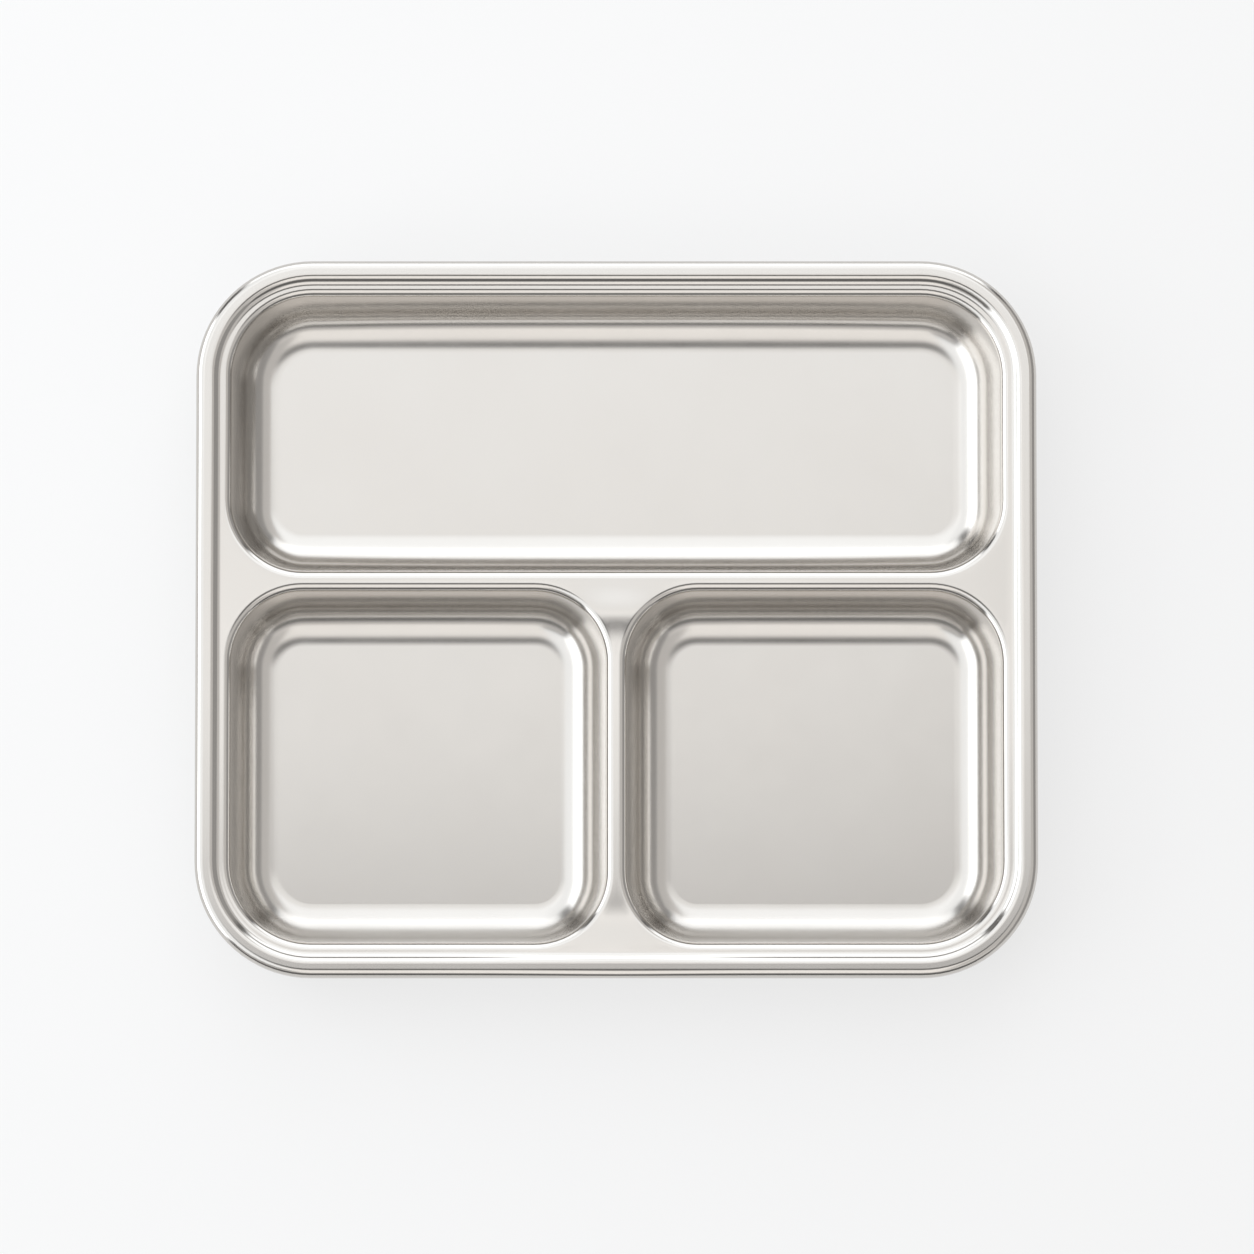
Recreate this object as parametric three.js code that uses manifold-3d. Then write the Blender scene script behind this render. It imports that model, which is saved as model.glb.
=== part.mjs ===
// Divided serving tray in stainless steel sheet, made as two pressings that are joined along the rim.
// The liner has the rim and three wells. The shell closes it from below and stands on the table.
// Millimetres, +Z up. The origin is on the table under the middle of the tray, and the wide well is at +Y.

import * as THREE from "three";
import { mergeVertices } from "three/addons/utils/BufferGeometryUtils.js";
import Module from "manifold-3d";

const wasm = await Module();
wasm.setup();

// Whole tray, measured over the rim
const trayWidth = 260;
const trayLength = 223;
const trayHeight = 30;
const rimCornerRadius = 36;

// Sheet of both pressings, and the gap that the rim seam leaves between them
const sheet = 0.6;
const seamGap = 0.3;

// Rim of the liner, from the skirt's lower edge over the band and down the step to the land
const skirtHeight = 4.5;
const rimEdgeRadius = 2.6;
const bandWidth = 1.6;
const stepDrop = 1.7;
const stepRadius = 2.7;
const landWidth = 0.25;

// Wells of the liner, measured between the tops of their walls, where the rounded mouths end
const dividerWidth = 6.6;
const wideWellLength = 85.4;
const wellInnerCornerRadius = 22;
const mouthRadius = 2.8;
const wallDraft = THREE.MathUtils.degToRad(14);
const floorRadius = 11;

// Shell, from the rim seam down the wall to the foot ring and the raised panel of the base
const shellDraft = THREE.MathUtils.degToRad(2);
const baseRadius = 12;
const footWidth = 8;
const panelRise = 0.8;
const panelRadius = 1.5;
const panelSlope = THREE.MathUtils.degToRad(30);

// Air gap between the raised panel and the undersides of the wells
const baseGap = 2;

// Finish of the sheets: the liner is a little brighter than the shell
const linerColour = 0xd3cfcc;
const linerRoughness = 0.28;
const shellColour = 0xc9c6c3;
const shellRoughness = 0.34;

// Fineness of the facets
const cornerSteps = 6;
const bendStep = THREE.MathUtils.degToRad(18);

// Tightest corner that an outline keeps when it is moved inwards
const smallestCorner = 0.5;

// Tilts of a sheet's face: level facing up, upright facing out, and level facing down
const level = 0;
const facingOut = -Math.PI / 2;
const facingDown = -Math.PI;

// Corners of a rectangle seen from above, round from +X +Y
const corners = [
  { sideX: 1, sideY: 1 },
  { sideX: -1, sideY: 1 },
  { sideX: -1, sideY: -1 },
  { sideX: 1, sideY: -1 },
];

const landHeight = trayHeight - stepDrop;
const wellFloorHeight = panelRise + sheet + baseGap + sheet;
const wallTilt = Math.PI / 2 - wallDraft;

// Slope in the middle of the rim's step, which is an S-curve of two equal bends
const stepSlope = Math.acos(1 - stepDrop / (2 * stepRadius));

// Insets from the rim to the land and to the wells' walls
const landInset = rimEdgeRadius + bandWidth + 2 * stepRadius * Math.sin(stepSlope);
const mouthRun = mouthRadius * Math.sin(wallTilt);
const wellInset = landInset + landWidth + mouthRun;

// Overlap with which the pressed stretches of the liner are joined on the land
const joinLap = landWidth / 2;

// Section through a sheet's face, drawn as a pen line that never kinks.
// A point has its inset from the outline, its height, and the face's tilt, which is positive inwards.
class Section {
  constructor(inset, height, tilt) {
    this.points = [{ inset, height, tilt }];
  }

  get end() {
    return this.points[this.points.length - 1];
  }

  straight(length) {
    const { inset, height, tilt } = this.end;
    this.points.push({
      inset: inset + length * Math.cos(tilt),
      height: height - length * Math.sin(tilt),
      tilt,
    });
    return this;
  }

  straightToHeight(height) {
    return this.straight((this.end.height - height) / Math.sin(this.end.tilt));
  }

  bend(radius, tilt) {
    const from = this.end;
    const turn = tilt - from.tilt;
    const reach = Math.sign(turn) * radius;
    const steps = Math.ceil(Math.abs(turn) / bendStep);
    for (let i = 1; i <= steps; i++) {
      const turned = from.tilt + (turn * i) / steps;
      this.points.push({
        inset: from.inset + reach * (Math.sin(turned) - Math.sin(from.tilt)),
        height: from.height + reach * (Math.cos(turned) - Math.cos(from.tilt)),
        tilt: turned,
      });
    }
    return this;
  }

  // The other face of the sheet, one thickness behind this one
  back() {
    return this.points.map(({ inset, height, tilt }) => ({
      inset: inset - sheet * Math.sin(tilt),
      height: height - sheet * Math.cos(tilt),
      tilt,
    }));
  }
}

// Length of a slope's straight stretch, where the slope has a bend of the same radius at each end
function slopeLength(drop, radius, slope) {
  return (drop - 2 * radius * (1 - Math.cos(slope))) / Math.sin(slope);
}

// Rounded rectangle seen from above, with a radius for each of the corners
function outline(lowX, highX, lowY, highY, radii) {
  return { lowX, highX, lowY, highY, radii };
}

// Points of an outline, moved inwards by the inset, round from the +X +Y corner
function ring({ lowX, highX, lowY, highY, radii }, inset, height) {
  return corners.flatMap(({ sideX, sideY }, corner) => {
    const radius = Math.max(radii[corner] - inset, smallestCorner);
    const centreX = (sideX > 0 ? highX : lowX) - sideX * (inset + radius);
    const centreY = (sideY > 0 ? highY : lowY) - sideY * (inset + radius);
    return Array.from({ length: cornerSteps + 1 }, (_, step) => {
      const angle = ((corner + step / cornerSteps) * Math.PI) / 2;
      return new THREE.Vector3(
        centreX + radius * Math.cos(angle),
        centreY + radius * Math.sin(angle),
        height,
      );
    });
  });
}

// Closed skin through a row of rings. It joins up end to end, or is capped at both ends.
function loft(rings, joined) {
  const count = rings[0].length;
  const index = [];
  const bands = joined ? rings.length : rings.length - 1;
  for (let row = 0; row < bands; row++) {
    const near = row * count;
    const far = ((row + 1) % rings.length) * count;
    for (let i = 0; i < count; i++) {
      const next = (i + 1) % count;
      index.push(near + i, near + next, far + next);
      index.push(near + i, far + next, far + i);
    }
  }
  if (!joined) {
    const last = (rings.length - 1) * count;
    for (let i = 1; i < count - 1; i++) {
      index.push(0, i + 1, i);
      index.push(last, last + i, last + i + 1);
    }
  }
  const geometry = new THREE.BufferGeometry().setFromPoints(rings.flat());
  geometry.setIndex(index);
  return geometry;
}

// The rings of both faces of a pressed sheet, in order round its section
function sheetRings(shape, section) {
  const place = ({ inset, height }) => ring(shape, inset, height);
  return { face: section.points.map(place), back: section.back().map(place).reverse() };
}

function solidOf(geometry) {
  geometry.deleteAttribute("normal");
  geometry.deleteAttribute("uv");
  const merged = mergeVertices(geometry);
  return new wasm.Manifold(
    new wasm.Mesh({
      numProp: 3,
      vertProperties: merged.getAttribute("position").array,
      triVerts: Uint32Array.from(merged.getIndex().array),
    }),
  );
}

function geometryOf(solid) {
  const { vertProperties, triVerts } = solid.getMesh();
  const geometry = new THREE.BufferGeometry();
  geometry.setAttribute("position", new THREE.BufferAttribute(vertProperties, 3));
  geometry.setIndex(new THREE.BufferAttribute(triVerts, 1));
  geometry.computeVertexNormals();
  return geometry;
}

const rimOutline = outline(
  -trayWidth / 2,
  trayWidth / 2,
  -trayLength / 2,
  trayLength / 2,
  corners.map(() => rimCornerRadius),
);

// Outlines of the wells at the tops of their walls: one wide well behind, two in front of it
function wellOutlines() {
  const sideX = trayWidth / 2 - wellInset;
  const backY = trayLength / 2 - wellInset;
  const dividerBackY = backY - wideWellLength;
  const dividerFrontY = dividerBackY - dividerWidth;
  const outer = rimCornerRadius - wellInset;
  const inner = wellInnerCornerRadius;
  return [
    outline(-sideX, sideX, dividerBackY, backY, [outer, outer, inner, inner]),
    outline(-sideX, -dividerWidth / 2, -backY, dividerFrontY, [inner, inner, outer, inner]),
    outline(dividerWidth / 2, sideX, -backY, dividerFrontY, [inner, inner, inner, outer]),
  ];
}

// Skirt, rounded edge, band and step of the rim, as far as the land
function rimSection() {
  return new Section(0, trayHeight - skirtHeight, facingOut)
    .straightToHeight(trayHeight - rimEdgeRadius)
    .bend(rimEdgeRadius, level)
    .straight(bandWidth)
    .bend(stepRadius, stepSlope)
    .bend(stepRadius, level);
}

// Rounded mouth, wall and floor bend of a well, from the land inwards
function wellSection() {
  const wallFoot = wellFloorHeight + floorRadius * (1 - Math.cos(wallTilt));
  return new Section(-mouthRun - joinLap, landHeight, level)
    .straight(joinLap)
    .bend(mouthRadius, wallTilt)
    .straightToHeight(wallFoot)
    .bend(floorRadius, level);
}

// Flat sheet of the land, with a hole for the mouth of each well
function landGeometry() {
  const flat = (points) => points.map(({ x, y }) => new THREE.Vector2(x, y));
  const shape = new THREE.Shape(flat(ring(rimOutline, landInset, landHeight)));
  for (const well of wellOutlines()) {
    shape.holes.push(new THREE.Path(flat(ring(well, -mouthRun, landHeight))));
  }
  const geometry = new THREE.ExtrudeGeometry(shape, { depth: sheet, bevelEnabled: false });
  return geometry.translate(0, 0, landHeight - sheet);
}

function linerGeometry() {
  const { face, back } = sheetRings(rimOutline, rimSection().straight(joinLap));
  let liner = solidOf(loft([...face, ...back], true)).add(solidOf(landGeometry()));
  for (const well of wellOutlines()) {
    const pan = sheetRings(well, wellSection());
    liner = liner.add(solidOf(loft([...pan.back, ...pan.face], false)));
  }
  return geometryOf(liner);
}

// Underside and wall of the shell, from the raised panel out over the foot ring and up to the seam.
// The wall ends inside the skirt, where the rim's edge starts to bend, and is placed from there.
function shellSection() {
  const wallTop = trayHeight - rimEdgeRadius;
  const wallInset = sheet + seamGap;
  const wallLean = facingOut - shellDraft;
  const wallFoot = baseRadius * (1 - Math.sin(shellDraft));
  const wallRun = (wallTop - wallFoot) * Math.tan(shellDraft);
  const footOuter = wallInset + wallRun + baseRadius * Math.cos(shellDraft);
  const panelRun = slopeLength(panelRise, panelRadius, panelSlope);
  const panelStep = 2 * panelRadius * Math.sin(panelSlope) + panelRun * Math.cos(panelSlope);
  return new Section(footOuter + footWidth + panelStep, panelRise, facingDown)
    .bend(panelRadius, facingDown - panelSlope)
    .straight(panelRun)
    .bend(panelRadius, facingDown)
    .straight(footWidth)
    .bend(baseRadius, wallLean)
    .straightToHeight(wallTop);
}

function shellGeometry() {
  const { face, back } = sheetRings(rimOutline, shellSection());
  return loft([...face, ...back], false);
}

function steel(colour, roughness) {
  return new THREE.MeshStandardMaterial({ color: colour, roughness, metalness: 1 });
}

function part(name, geometry, material) {
  const mesh = new THREE.Mesh(geometry, material);
  mesh.name = name;
  return mesh;
}

const tray = new THREE.Group();
tray.add(part("tray_liner", linerGeometry(), steel(linerColour, linerRoughness)));
tray.add(part("outer_shell", shellGeometry(), steel(shellColour, shellRoughness)));

export default tray;
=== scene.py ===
import math

import bmesh
import bpy
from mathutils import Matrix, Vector, noise
from mathutils.geometry import delaunay_2d_cdt


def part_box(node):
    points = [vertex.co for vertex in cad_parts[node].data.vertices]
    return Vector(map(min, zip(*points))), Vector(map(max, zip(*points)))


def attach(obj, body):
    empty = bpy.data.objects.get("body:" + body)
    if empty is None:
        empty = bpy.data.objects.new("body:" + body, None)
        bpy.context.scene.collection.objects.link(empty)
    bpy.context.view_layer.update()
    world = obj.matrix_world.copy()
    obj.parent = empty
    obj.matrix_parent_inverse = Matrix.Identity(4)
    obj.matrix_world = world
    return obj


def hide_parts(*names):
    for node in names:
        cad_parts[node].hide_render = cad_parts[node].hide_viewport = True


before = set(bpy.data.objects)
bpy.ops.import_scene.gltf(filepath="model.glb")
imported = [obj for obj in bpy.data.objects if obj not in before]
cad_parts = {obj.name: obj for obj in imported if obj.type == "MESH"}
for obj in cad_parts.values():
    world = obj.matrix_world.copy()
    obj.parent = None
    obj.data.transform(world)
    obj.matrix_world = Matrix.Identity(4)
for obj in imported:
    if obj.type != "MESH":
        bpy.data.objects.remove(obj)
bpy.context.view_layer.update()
print("frame loaded:", list(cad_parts))

mm = 0.001

# the tray stands on z = 0, so the liner's box gives its width, length and height
linerLow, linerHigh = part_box("tray_liner")
trayWidth = linerHigh[0] - linerLow[0]
trayLength = linerHigh[1] - linerLow[1]
trayTop = linerHigh[2]

# tilt of a sheet's face in its section: 0 faces up, positive leans towards the inside of the outline
facingUp = 0.0
facingOut = -math.pi / 2
facingDown = -math.pi

sheetMetal = {
    "gauge": 0.6 * mm,
    "seamGap": 0.3 * mm,
    "bendStep": math.radians(5),       # one facet of a bend
    "holdStrip": 0.15 * mm,            # flat strip kept beside every bend, so that flats stay flat
    "facets": 20,                      # facets of each corner and each straight side of an outline
    "sharpFrom": math.radians(40),     # edges that turn further than this are shaded as creases
}


# a section is a list of (inset, height, tilt) that the next three functions draw like a pen
def runStraight(section, length):
    inset, height, tilt = section[-1]
    hold = min(sheetMetal["holdStrip"], length / 3)
    for along in (hold, length - hold, length):
        section.append((inset + along * math.cos(tilt), height - along * math.sin(tilt), tilt))


def runToHeight(section, height):
    runStraight(section, (section[-1][1] - height) / math.sin(section[-1][2]))


def bendTo(section, radius, tilt):
    inset, height, start = section[-1]
    reach = math.copysign(radius, tilt - start)
    steps = math.ceil(abs(tilt - start) / sheetMetal["bendStep"])
    for i in range(1, steps + 1):
        now = start + (tilt - start) * i / steps
        section.append((
            inset + reach * (math.sin(now) - math.sin(start)),
            height + reach * (math.cos(now) - math.cos(start)),
            now,
        ))


# straight part of a slope that has the same bend at both ends
def slopeLength(drop, radius, slope):
    return (drop - 2 * radius * (1 - math.cos(slope))) / math.sin(slope)


# Geometry Nodes: a section curve swept round a rectangle whose corners have their own radii
def pressTree():
    tree = bpy.data.node_groups.new("pressRoundOutline", "GeometryNodeTree")
    face = tree.interface
    face.new_socket("Section", in_out="INPUT", socket_type="NodeSocketGeometry")
    for name in ("Low X", "High X", "Low Y", "High Y"):
        face.new_socket(name, in_out="INPUT", socket_type="NodeSocketFloat")
    for corner in range(4):
        face.new_socket(f"Corner Radius {corner + 1}", in_out="INPUT", socket_type="NodeSocketFloat")
    face.new_socket("Facets", in_out="INPUT", socket_type="NodeSocketInt")
    face.new_socket("Metal", in_out="INPUT", socket_type="NodeSocketMaterial")
    face.new_socket("Sheet", in_out="OUTPUT", socket_type="NodeSocketGeometry")

    new, link = tree.nodes.new, tree.links.new
    given = new("NodeGroupInput").outputs
    outline = new("GeometryNodeCurvePrimitiveQuadrilateral")
    outline.mode = "POINTS"
    places = (("High X", "High Y"), ("Low X", "High Y"), ("Low X", "Low Y"), ("High X", "Low Y"))
    radius = new("GeometryNodeIndexSwitch")
    radius.data_type = "FLOAT"
    for _ in range(2):                 # the node starts with two of its four items
        radius.index_switch_items.new()
    link(new("GeometryNodeInputIndex").outputs[0], radius.inputs["Index"])
    for corner, (sideX, sideY) in enumerate(places):
        point = new("ShaderNodeCombineXYZ")
        link(given[sideX], point.inputs["X"])
        link(given[sideY], point.inputs["Y"])
        link(point.outputs[0], outline.inputs[f"Point {corner + 1}"])
        link(given[f"Corner Radius {corner + 1}"], radius.inputs[corner + 1])

    bezier = new("GeometryNodeCurveSplineType")
    bezier.spline_type = "BEZIER"
    rounded = new("GeometryNodeFilletCurve")
    rounded.mode = "BEZIER"
    loose = new("GeometryNodeCurveSetHandles")     # free handles give the straight sides facets too
    loose.handle_type = "FREE"
    loose.mode = {"LEFT", "RIGHT"}
    facets = new("GeometryNodeSetSplineResolution")
    upright = new("GeometryNodeSetCurveNormal")
    upright.mode = "Z_UP"
    sweep = new("GeometryNodeCurveToMesh")
    smooth = new("GeometryNodeSetShadeSmooth")
    real = new("GeometryNodeRealizeInstances")
    metal = new("GeometryNodeSetMaterial")
    link(outline.outputs["Curve"], bezier.inputs["Curve"])
    link(bezier.outputs["Curve"], rounded.inputs["Curve"])
    link(radius.outputs[0], rounded.inputs["Radius"])
    link(rounded.outputs["Curve"], loose.inputs["Curve"])
    link(loose.outputs["Curve"], facets.inputs[0])
    link(given["Facets"], facets.inputs["Resolution"])
    link(facets.outputs[0], upright.inputs["Curve"])
    link(upright.outputs["Curve"], sweep.inputs["Curve"])
    link(given["Section"], sweep.inputs["Profile Curve"])
    link(sweep.outputs["Mesh"], smooth.inputs["Geometry"])
    link(smooth.outputs["Geometry"], real.inputs["Geometry"])
    link(real.outputs["Geometry"], metal.inputs["Geometry"])
    link(given["Metal"], metal.inputs["Material"])
    link(metal.outputs["Geometry"], new("NodeGroupOutput").inputs["Sheet"])
    return tree


def plainMesh(ob, name):
    graph = bpy.context.evaluated_depsgraph_get()
    mesh = bpy.data.meshes.new_from_object(ob.evaluated_get(graph), depsgraph=graph)
    mesh.name = name
    return mesh


# sweeps a section round an outline, and gives the mesh back with the section's points along each ring
def pressSheet(name, section, outline, metal):
    curve = bpy.data.curves.new(name, "CURVE")
    curve.dimensions = "3D"
    spline = curve.splines.new("POLY")
    spline.points.add(len(section) - 1)
    for point, (inset, height, _) in zip(spline.points, section):
        point.co = (-inset, -height, 0, 1)     # the sweep takes x outwards and y downwards
    ob = bpy.data.objects.new(name, curve)
    bpy.context.collection.objects.link(ob)
    modifier = ob.modifiers.new("press", "NODES")
    modifier.node_group = sheetPress
    ids = {s.name: s.identifier for s in sheetPress.interface.items_tree if s.in_out == "INPUT"}
    for key in ("Low X", "High X", "Low Y", "High Y"):
        modifier[ids[key]] = outline[key]
    for corner, radius in enumerate(outline["radii"]):
        modifier[ids[f"Corner Radius {corner + 1}"]] = radius
    modifier[ids["Facets"]] = sheetMetal["facets"]
    modifier[ids["Metal"]] = metal
    mesh = plainMesh(ob, name)
    bpy.data.objects.remove(ob)
    return mesh


# an outline seen from above, with the radii of its corners round from +X +Y
def rectangle(lowX, highX, lowY, highY, radii):
    return {"Low X": lowX, "High X": highX, "Low Y": lowY, "High Y": highY, "radii": radii}


# distance of a point from an outline that is grown all round, negative inside it
def outlineDistance(outline, grow, x, y):
    middleX = (outline["Low X"] + outline["High X"]) / 2
    middleY = (outline["Low Y"] + outline["High Y"]) / 2
    corner = (0 if x > middleX else 1) if y > middleY else (3 if x > middleX else 2)
    radius = outline["radii"][corner] + grow
    dx = abs(x - middleX) - (outline["High X"] - middleX + grow - radius)
    dy = abs(y - middleY) - (outline["High Y"] - middleY + grow - radius)
    return math.hypot(max(dx, 0), max(dy, 0)) + min(max(dx, dy), 0) - radius


# adds a swept mesh to a skin, marks how satin each stretch is, and returns its first and last ring
def addSheet(skin, mesh, section, satin):
    start, count = len(skin.verts), len(section)
    skin.from_mesh(mesh)
    bpy.data.meshes.remove(mesh)
    skin.verts.ensure_lookup_table()
    layer = skin.verts.layers.float["satin"]
    for i in range(start, len(skin.verts)):
        skin.verts[i][layer] = satin(section[(i - start) % count])
    rings = range(start, len(skin.verts), count)
    return [skin.verts[i] for i in rings], [skin.verts[i + count - 1] for i in rings]


def startSkin():
    skin = bmesh.new()
    skin.verts.layers.float.new("satin")
    return skin


# turns a skin into a closed sheet of the steel's gauge, as a plain mesh on an object at the origin
def finishSheet(name, skin, metal):
    bmesh.ops.recalc_face_normals(skin, faces=skin.faces)
    for f in skin.faces:
        f.smooth = True
    mesh = bpy.data.meshes.new(name)
    skin.to_mesh(mesh)
    skin.free()
    mesh.materials.clear()
    mesh.materials.append(metal)
    ob = bpy.data.objects.new(name, mesh)
    bpy.context.collection.objects.link(ob)
    gauge = ob.modifiers.new("gauge", "SOLIDIFY")
    gauge.thickness = sheetMetal["gauge"]
    gauge.offset = -1                  # thickens the sheet behind the face that was drawn
    gauge.use_even_offset = True
    ob.data = plainMesh(ob, name)
    ob.modifiers.clear()
    bpy.data.meshes.remove(mesh)
    ob.data.set_sharp_from_angle(angle=sheetMetal["sharpFrom"])
    return ob


liner = {
    "cornerRadius": 36 * mm,
    "skirtHeight": 4.5 * mm,
    "edgeRadius": 2.6 * mm,
    "bandWidth": 1.6 * mm,
    "stepDrop": 1.7 * mm,
    "stepRadius": 2.7 * mm,
    "landWidth": 0.25 * mm,            # flat between the rim's step and the mouths of the wells
    "dividerWidth": 6.6 * mm,
    "wideWellLength": 85.4 * mm,
    "wellInnerCorner": 22 * mm,
    "mouthRadius": 2.8 * mm,
    "wallDraft": math.radians(14),
    "floorRadius": 11 * mm,
    "wellFloor": 4 * mm,               # height of the wells' floors above the table
    "landGrid": 1.5 * mm,              # spacing of the land's inner points
    "landWeld": 1e-7,                  # points of the land that are closer than this are one point
    "satinBand": 0.5,                  # how much of the floors' satin finish the flat parts above keep
    "satinLand": 0.3,
}
# where the land between the wells is pressed up or down a little: a crest behind, a hollow in front
# of it, and a ramp to the rim's front step
landSwells = [
    {"rise": 0.56 * mm, "at": (0, 1.6 * mm), "side": 14 * mm, "front": 5 * mm, "back": 6.5 * mm},
    {"rise": -0.12 * mm, "at": (0, -92 * mm), "side": 12 * mm, "front": 5 * mm, "back": 5 * mm},
    {"rise": 0.8 * mm, "at": (0, -105 * mm), "side": 26 * mm, "front": 8 * mm, "back": 8.5 * mm},
]
# the back and front walls of the wells spring out a little between their corners, mostly low down.
# the back walls are more polished than the floors, and the front walls of the front wells are matt
wallBows = {
    "back": (1.2 * mm, 0.8 * mm, 0.8 * mm),    # in the wide, the left and the right well
    "front": 1.2 * mm,
    "reach": 15 * mm,                  # how far inside the outline a point still counts as wall
    "power": 4,                        # how suddenly a bow dies out upwards, sideways and inwards
    "peak": 12.2,                      # brings the highest point of a bow's curve to 1
    "polish": 0.6,                     # share of the satin mark that the back walls lose
    "matt": 4.0,                       # satin mark that the front walls gain
    "finishRamp": 4,                   # both fade in over one part in so many of the wall's height
    "mattEnd": 0.82,                   # share of the half width at which the matt finish ends
    "mattPower": 6,                    # how suddenly it ends
}
sheetWaves = {"height": 0.02 * mm, "length": 35 * mm, "seed": (3.1, 7.4, 1.9)}

landHeight = trayTop - liner["stepDrop"]
wallTilt = math.pi / 2 - liner["wallDraft"]
stepSlope = math.acos(1 - liner["stepDrop"] / (2 * liner["stepRadius"]))
landInset = liner["edgeRadius"] + liner["bandWidth"] + 2 * liner["stepRadius"] * math.sin(stepSlope)
mouthRun = liner["mouthRadius"] * math.sin(wallTilt)
wellInset = landInset + liner["landWidth"] + mouthRun


def rimSection():
    section = [(0, trayTop - liner["skirtHeight"], facingOut)]
    runToHeight(section, trayTop - liner["edgeRadius"])
    bendTo(section, liner["edgeRadius"], facingUp)
    runStraight(section, liner["bandWidth"])
    bendTo(section, liner["stepRadius"], stepSlope)
    bendTo(section, liner["stepRadius"], facingUp)
    return section


def wellSection():
    section = [(-mouthRun, landHeight, facingUp)]
    bendTo(section, liner["mouthRadius"], wallTilt)
    runToHeight(section, liner["wellFloor"] + liner["floorRadius"] * (1 - math.cos(wallTilt)))
    bendTo(section, liner["floorRadius"], facingUp)
    runStraight(section, sheetMetal["holdStrip"])
    return section


def rimSatin(point):
    return liner["satinBand"] if point[2] == facingUp and point[1] > landHeight else 0.0


def wellSatin(point):
    return 0.0 if point[1] > landHeight - liner["mouthRadius"] else 1.0


def trayOutline():
    corner = liner["cornerRadius"]
    return rectangle(-trayWidth / 2, trayWidth / 2, -trayLength / 2, trayLength / 2, [corner] * 4)


# the wide well behind, then the left and the right one in front of it
def wellOutlines():
    sideX = trayWidth / 2 - wellInset
    backY = trayLength / 2 - wellInset
    behind = backY - liner["wideWellLength"]
    before = behind - liner["dividerWidth"]
    half = liner["dividerWidth"] / 2
    outer, inner = liner["cornerRadius"] - wellInset, liner["wellInnerCorner"]
    return [
        rectangle(-sideX, sideX, behind, backY, [outer, outer, inner, inner]),
        rectangle(-sideX, -half, -backY, before, [inner, inner, outer, inner]),
        rectangle(half, sideX, -backY, before, [inner, inner, inner, outer]),
    ]


# closes the land between the rim and the mouths, with inner points that let it swell
def fillLand(skin, loops):
    wells, tray, grid = wellOutlines(), trayOutline(), liner["landGrid"]

    def onLand(x, y, margin):
        fromWells = min(outlineDistance(well, mouthRun, x, y) for well in wells)
        return fromWells > margin and outlineDistance(tray, -landInset, x, y) < -margin

    points = [v for loop in loops for v in loop]
    edges, start = [], 0
    for loop in loops:
        edges += [(start + i, start + (i + 1) % len(loop)) for i in range(len(loop))]
        start += len(loop)
    countX, countY = int(trayWidth / grid / 2), int(trayLength / grid / 2)
    layer = skin.verts.layers.float["satin"]
    for i in range(-countX, countX + 1):
        for j in range(-countY, countY + 1):
            if onLand(i * grid, j * grid, grid / 2):
                v = skin.verts.new((i * grid, j * grid, landHeight))
                v[layer] = liner["satinLand"]
                points.append(v)
    flat = [v.co.to_2d() for v in points]
    wholeHull = 0
    _, _, faces, sources, _, _ = delaunay_2d_cdt(flat, edges, [], wholeHull, liner["landWeld"])
    for face in faces:
        x, y = sum((flat[sources[i][0]] for i in face), Vector((0, 0))) / len(face)
        if onLand(x, y, 0):
            skin.faces.new([points[sources[i][0]] for i in face])


# height that the swells give the land at a place
def landLift(x, y):
    lift = 0.0
    for swell in landSwells:
        dx = (x - swell["at"][0]) / swell["side"]
        dy = y - swell["at"][1]
        dy /= swell["back"] if dy > 0 else swell["front"]
        lift += swell["rise"] * math.exp(-dx * dx - dy * dy)
    return lift


# bows the back and front walls of a well at one vertex, and marks their finish there
def settleWalls(v, layer, well, order, held):
    x, y, _ = v.co
    across = (2 * x - well["Low X"] - well["High X"]) / (well["High X"] - well["Low X"])
    if abs(across) >= 1 or not well["Low Y"] < y < well["High Y"]:
        return
    power, reach, ramp = wallBows["power"], wallBows["reach"], wallBows["finishRamp"]
    sideways = 1 - across ** power
    bow = wallBows["peak"] * held * (1 - held) ** power * sideways
    nearBack = max(1 - ((well["High Y"] - y) / reach) ** power, 0)
    nearFront = max(1 - ((y - well["Low Y"]) / reach) ** power, 0)
    v.co.y += wallBows["back"][order] * bow * nearBack - wallBows["front"] * bow * nearFront
    wall = sideways * min(held * ramp, 1, (1 - held) * ramp)
    v[layer] *= 1 - wallBows["polish"] * nearBack * wall
    if order > 0:
        middle = max(1 - (across / wallBows["mattEnd"]) ** wallBows["mattPower"], 0)
        v[layer] += wallBows["matt"] * nearFront * wall * middle


# the pressed sheet is not quite true: the land swells, the walls bow, and all of it waves a little
def settleSheet(skin):
    wells = wellOutlines()
    layer = skin.verts.layers.float["satin"]
    for v in skin.verts:
        x, y, z = v.co
        lift = landLift(x, y)
        place = v.co / sheetWaves["length"] + Vector(sheetWaves["seed"])
        wave = sheetWaves["height"] * noise.noise(place)
        # 0 on the floors of the wells, 1 on the land
        held = min(max((z - liner["wellFloor"]) / (landHeight - liner["wellFloor"]), 0), 1)
        for order, well in enumerate(wells):
            settleWalls(v, layer, well, order, held)
        v.co.z += lift * held * held * (1 - max(z - landHeight, 0) / liner["stepDrop"])
        if z < trayTop - 2 * sheetWaves["height"]:     # the rim's band stays level
            v.co.z += wave * held


def makeLiner(metal):
    skin = startSkin()
    section = rimSection()
    mesh = pressSheet("rim", section, trayOutline(), metal)
    landLoops = [addSheet(skin, mesh, section, rimSatin)[1]]
    section = wellSection()
    for outline in wellOutlines():
        mesh = pressSheet("well", section, outline, metal)
        mouth, floorEdge = addSheet(skin, mesh, section, wellSatin)
        landLoops.append(mouth)
        skin.faces.new(floorEdge)
    fillLand(skin, landLoops)
    settleSheet(skin)
    return finishSheet("liner_sheet", skin, metal)


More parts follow.
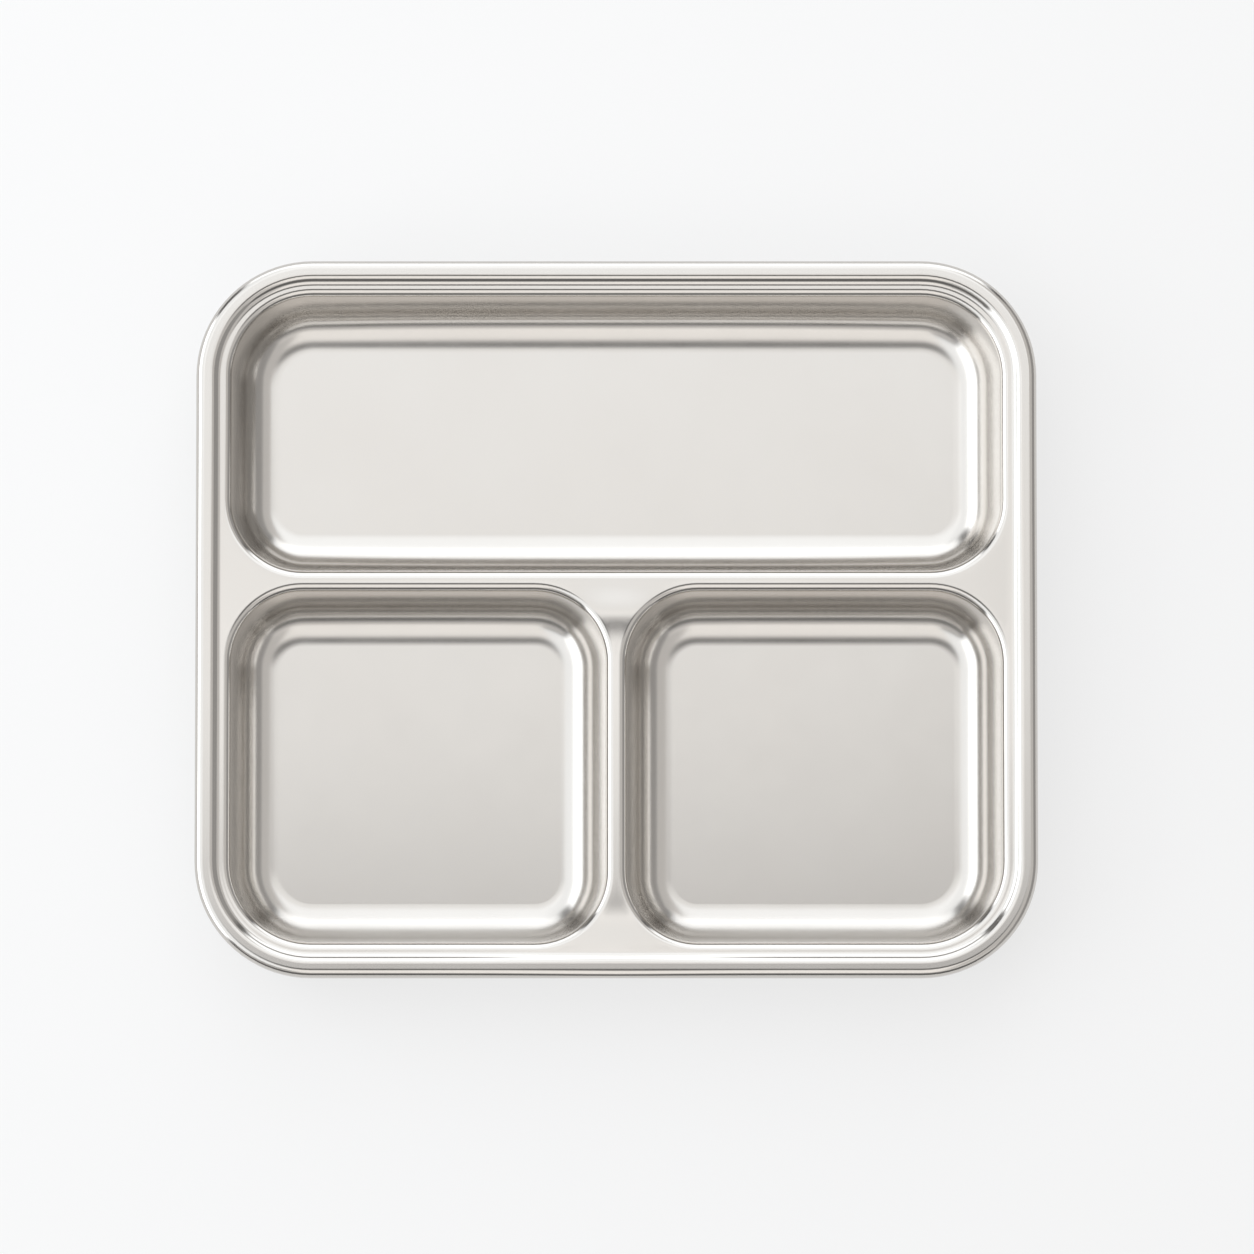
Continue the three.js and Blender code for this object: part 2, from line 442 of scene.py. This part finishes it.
shell = {
    "draft": math.radians(2),
    "baseRadius": 12 * mm,
    "footWidth": 8 * mm,
    "panelRise": 0.8 * mm,
    "panelRadius": 1.5 * mm,
    "panelSlope": math.radians(30),
    "panelStrip": 0.3 * mm,            # level strip of the panel that the section starts with
    "satinWall": 0.4,                  # how much of the underside's satin finish the rest keeps
}


# from the raised panel out over the foot ring and up the wall, which ends inside the skirt
def shellSection():
    wallTop = trayTop - liner["edgeRadius"]
    radius, draft = shell["baseRadius"], shell["draft"]
    wallFoot = radius * (1 - math.sin(draft))
    wallInset = sheetMetal["gauge"] + sheetMetal["seamGap"] + (wallTop - wallFoot) * math.tan(draft)
    slope = slopeLength(shell["panelRise"], shell["panelRadius"], shell["panelSlope"])
    stepWidth = 2 * shell["panelRadius"] * math.sin(shell["panelSlope"])
    stepWidth += slope * math.cos(shell["panelSlope"])
    footOuter = wallInset + radius * math.cos(draft)
    panelInset = footOuter + shell["footWidth"] + stepWidth + shell["panelStrip"]
    section = [(panelInset, shell["panelRise"], facingDown)]
    runStraight(section, shell["panelStrip"])
    bendTo(section, shell["panelRadius"], facingDown - shell["panelSlope"])
    runStraight(section, slope)
    bendTo(section, shell["panelRadius"], facingDown)
    runStraight(section, shell["footWidth"])
    bendTo(section, radius, facingOut - draft)
    runToHeight(section, wallTop)
    return section


def shellSatin(point):
    return 1.0 if point[2] == facingDown else shell["satinWall"]


def makeShell(metal):
    skin = startSkin()
    section = shellSection()
    mesh = pressSheet("pan", section, trayOutline(), metal)
    panelEdge, _ = addSheet(skin, mesh, section, shellSatin)
    skin.faces.new(panelEdge)
    return finishSheet("shell_sheet", skin, metal)


linerLook = {
    "name": "liner_satin_steel",
    "colour": (0.62, 0.599, 0.571),
    "tint": 0.035,                     # how far the cloudy tint darkens the steel
    "tintShares": (1, 1.3, 1.5),       # by channel, so that the darker clouds are warmer
    "polished": 0.14,                  # roughness where the sheet was drawn over the tool
    "satin": 0.23,                     # roughness of the floors
    "patchy": 0.05,                    # spread of the roughness from patch to patch
    "grain": 0.0052 * mm,              # height of the sandy grain on the floors
    "grainFades": (5 * mm, 9 * mm),    # heights between which it fades out up the walls
    "grainLeft": 0.15,                 # share of it that stays above
}
shellLook = {
    **linerLook,
    "name": "shell_satin_steel",
    "colour": (0.59, 0.57, 0.545),
    "polished": 0.2,
}
# scale and detail of the noise behind each mark in the steel, and the middle of what noise gives
steelNoise = {"tint": (28, 3), "patch": (90, 4), "grain": (2200, 2), "middle": 0.5}


# a maths node in a material, on numbers and sockets
def addMath(tree, kind, *values):
    node = tree.nodes.new("ShaderNodeMath")
    node.operation = kind
    for socket, value in zip(node.inputs, values):
        if isinstance(value, (int, float)):
            socket.default_value = value
        else:
            tree.links.new(value, socket)
    return node.outputs[0]


# drawn steel: cloudy tint, patchy polish that follows the satin mark, and a fine sandy grain low down
def steelMaterial(look):
    metal = bpy.data.materials.new(look["name"])
    metal.use_nodes = True
    tree = metal.node_tree
    nodes, link = tree.nodes, tree.links.new
    shader = nodes["Principled BSDF"]
    shader.inputs["Metallic"].default_value = 1
    place = nodes.new("ShaderNodeTexCoord").outputs["Object"]
    satin = nodes.new("ShaderNodeAttribute")
    satin.attribute_name = "satin"

    def cloud(mark):
        node = nodes.new("ShaderNodeTexNoise")
        node.inputs["Scale"].default_value, node.inputs["Detail"].default_value = steelNoise[mark]
        link(place, node.inputs["Vector"])
        return node.outputs["Fac"]

    tint = nodes.new("ShaderNodeMix")
    tint.data_type = "RGBA"
    darker = [c * (1 - look["tint"] * k) for c, k in zip(look["colour"], look["tintShares"])]
    tint.inputs["A"].default_value = (*look["colour"], 1)
    tint.inputs["B"].default_value = (*darker, 1)
    link(cloud("tint"), tint.inputs["Factor"])
    link(tint.outputs["Result"], shader.inputs["Base Color"])

    spread = look["satin"] - look["polished"]
    rough = addMath(tree, "MULTIPLY_ADD", satin.outputs["Fac"], spread, look["polished"])
    patch = addMath(tree, "SUBTRACT", cloud("patch"), steelNoise["middle"])
    patch = addMath(tree, "MULTIPLY", patch, look["patchy"])
    link(addMath(tree, "ADD", rough, patch), shader.inputs["Roughness"])

    axes = nodes.new("ShaderNodeSeparateXYZ")
    link(place, axes.inputs[0])
    fade = nodes.new("ShaderNodeMapRange")
    link(axes.outputs["Z"], fade.inputs["Value"])
    fade.inputs["From Min"].default_value, fade.inputs["From Max"].default_value = look["grainFades"]
    fade.inputs["To Min"].default_value = 1
    fade.inputs["To Max"].default_value = look["grainLeft"]
    bump = nodes.new("ShaderNodeBump")
    bump.inputs["Distance"].default_value = look["grain"]
    link(addMath(tree, "MULTIPLY", cloud("grain"), fade.outputs["Result"]), bump.inputs["Height"])
    link(bump.outputs["Normal"], shader.inputs["Normal"])
    return metal


sheetPress = pressTree()
linerSheet = makeLiner(steelMaterial(linerLook))
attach(linerSheet, "root")
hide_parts("tray_liner")
print("liner pressed:", len(linerSheet.data.polygons), "faces")
shellSheet = makeShell(steelMaterial(shellLook))
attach(shellSheet, "root")
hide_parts("outer_shell")
print("shell pressed:", len(shellSheet.data.polygons), "faces")

studio = {
    "floorSize": 6.0,
    "floorColour": (0.76, 0.76, 0.76),
    "floorWhite": (0.965, 0.965, 0.965, 1),
    "floorLift": 0.7,                  # share of that plain white in the table, which pales its shadow
    "floorRoughness": 0.9,
    "floorShine": 0.1,
    "ambient": 0.18,
    "ceiling": 1.0,                    # height of the overhead softboxes
    "wall": 1.2,                       # distance of the upright ones
    "softEdge": 0.12,                  # width over which a softbox fades out
    "edgeSteps": 3,
    "plain": (1, 1, 1),
    "cool": (0.94, 0.97, 1.0),         # light from the left and the back
    "warm": (1.0, 0.98, 0.96),         # light from the right and the front
    "lampGap": 2 * mm,                 # lamps in one plane hide each other, so each has its own
}
# softboxes by the stretch that they cover and their glow, where 1 makes white paper white
overheadBoxes = {
    "overBack": {"x": (-0.28, 0.36), "y": (-0.01, 0.26), "glow": 0.96, "tone": "plain"},
    "overFar": {"x": (-0.28, 0.36), "y": (0.26, 1.3), "glow": 1.45, "tone": "cool"},
    "overStrip": {"x": (-0.22, 0.1), "y": (0.02, 0.13), "glow": 0.45, "tone": "plain"},
    "overLeft": {"x": (-1.3, -0.28), "y": (-1.0, 1.1), "glow": 1.28, "tone": "cool"},
    "overRight": {"x": (0.36, 1.3), "y": (-1.3, 1.3), "glow": 0.58, "tone": "warm"},
    "overFront": {"x": (-0.28, 0.36), "y": (-1.3, -0.36), "glow": 1.15, "tone": "warm"},
}
# the upright ones at the left and the back stop short of the corner between them, which stays dark
wallBoxes = {
    "leftWall": {
        "side": (-1, 0), "across": (-0.95, 0.95), "z": (0.15, 1.1), "glow": 2.35, "tone": "cool",
    },
    "rightWall": {
        "side": (1, 0), "across": (-1.3, 1.3), "z": (0.0, 1.1), "glow": 0.25, "tone": "warm",
    },
    "backWall": {
        "side": (0, 1), "across": (-0.85, 0.85), "z": (0.1, 1.1), "glow": 1.75, "tone": "cool",
    },
    "frontWall": {
        "side": (0, -1), "across": (-1.3, 1.3), "z": (0.65, 1.1), "glow": 0.6, "tone": "warm",
    },
}


def makeFloor():
    mesh = bpy.data.meshes.new("table")
    half = studio["floorSize"] / 2
    corners = [(-half, -half, 0), (half, -half, 0), (half, half, 0), (-half, half, 0)]
    mesh.from_pydata(corners, [], [(0, 1, 2, 3)])
    paper = bpy.data.materials.new("white_paper")
    paper.use_nodes = True
    tree = paper.node_tree
    nodes, link = tree.nodes, tree.links.new
    shader = nodes["Principled BSDF"]
    shader.inputs["Base Color"].default_value = (*studio["floorColour"], 1)
    shader.inputs["Roughness"].default_value = studio["floorRoughness"]
    shader.inputs["Specular IOR Level"].default_value = studio["floorShine"]
    white = nodes.new("ShaderNodeEmission")
    white.inputs["Color"].default_value = studio["floorWhite"]
    ray = nodes.new("ShaderNodeLightPath").outputs
    seen = addMath(tree, "MAXIMUM", ray["Is Camera Ray"], ray["Is Glossy Ray"])
    seen = addMath(tree, "MAXIMUM", seen, ray["Is Transmission Ray"])
    lifted = nodes.new("ShaderNodeMixShader")
    link(addMath(tree, "MULTIPLY", seen, studio["floorLift"]), lifted.inputs["Fac"])
    link(shader.outputs[0], lifted.inputs[1])
    link(white.outputs[0], lifted.inputs[2])
    link(lifted.outputs[0], nodes["Material Output"].inputs["Surface"])
    mesh.materials.append(paper)
    floor = bpy.data.objects.new("table", mesh)
    bpy.context.collection.objects.link(floor)


# a softbox with a soft edge: lamps of the same glow stacked from the whole size to the bright middle
def addSoftbox(name, place, facing, width, height, box):
    for i in range(studio["edgeSteps"]):
        trim = studio["softEdge"] * (2 * i / (studio["edgeSteps"] - 1) - 1)
        lamp = bpy.data.lights.new(f"{name}{i + 1}", "AREA")
        lamp.shape = "RECTANGLE"
        lamp.size, lamp.size_y = width - trim, height - trim
        lamp.color = studio[box["tone"]]
        lamp.energy = box["glow"] / studio["edgeSteps"] * math.pi * lamp.size * lamp.size_y
        ob = bpy.data.objects.new(lamp.name, lamp)
        bpy.context.collection.objects.link(ob)
        ob.location = Vector(place) - Vector(facing) * studio["lampGap"] * len(bpy.data.lights)
        ob.rotation_euler = Vector(facing).to_track_quat("-Z", "Y").to_euler()


def makeLights():
    for name, box in overheadBoxes.items():
        (x0, x1), (y0, y1) = box["x"], box["y"]
        middle = ((x0 + x1) / 2, (y0 + y1) / 2, studio["ceiling"])
        addSoftbox(name, middle, (0, 0, -1), x1 - x0, y1 - y0, box)
    for name, box in wallBoxes.items():
        (sideX, sideY), (low, high), (start, end) = box["side"], box["z"], box["across"]
        along = (start + end) / 2
        away = studio["wall"]
        x = sideX * away + abs(sideY) * along
        y = sideY * away + abs(sideX) * along
        middle = (x, y, (low + high) / 2)
        addSoftbox(name, middle, (-sideX, -sideY, 0), end - start, high - low, box)
    world = bpy.data.worlds.new("studio")
    bpy.context.scene.world = world
    world.use_nodes = True
    background = world.node_tree.nodes["Background"]
    background.inputs["Color"].default_value = (1, 1, 1, 1)
    background.inputs["Strength"].default_value = studio["ambient"]


makeFloor()
makeLights()

# the photograph looks down from the front, 7 degrees off the vertical, with a long lens
view = {
    "tilt": math.radians(7),
    "distance": 4.0,
    "frameWidth": 387 * mm,            # width of the picture on the plane of the rim
    "aim": (3.3 * mm, -3.0 * mm),      # point of that plane in the middle of the picture
    "sensor": 36.0,
    "clipEnd": 20,
}


def makeCamera():
    lens = bpy.data.cameras.new("camera")
    lens.sensor_width = view["sensor"]
    lens.lens = view["sensor"] * view["distance"] / view["frameWidth"]
    lens.clip_end = view["clipEnd"]
    camera = bpy.data.objects.new("camera", lens)
    bpy.context.collection.objects.link(camera)
    aim = Vector((*view["aim"], trayTop))
    away = Vector((0, -math.sin(view["tilt"]), math.cos(view["tilt"])))
    camera.location = aim + away * view["distance"]
    camera.rotation_euler = (-away).to_track_quat("-Z", "Y").to_euler()
    bpy.context.scene.camera = camera


makeCamera()
bpy.context.scene.view_settings.view_transform = "Standard"
print("studio ready")
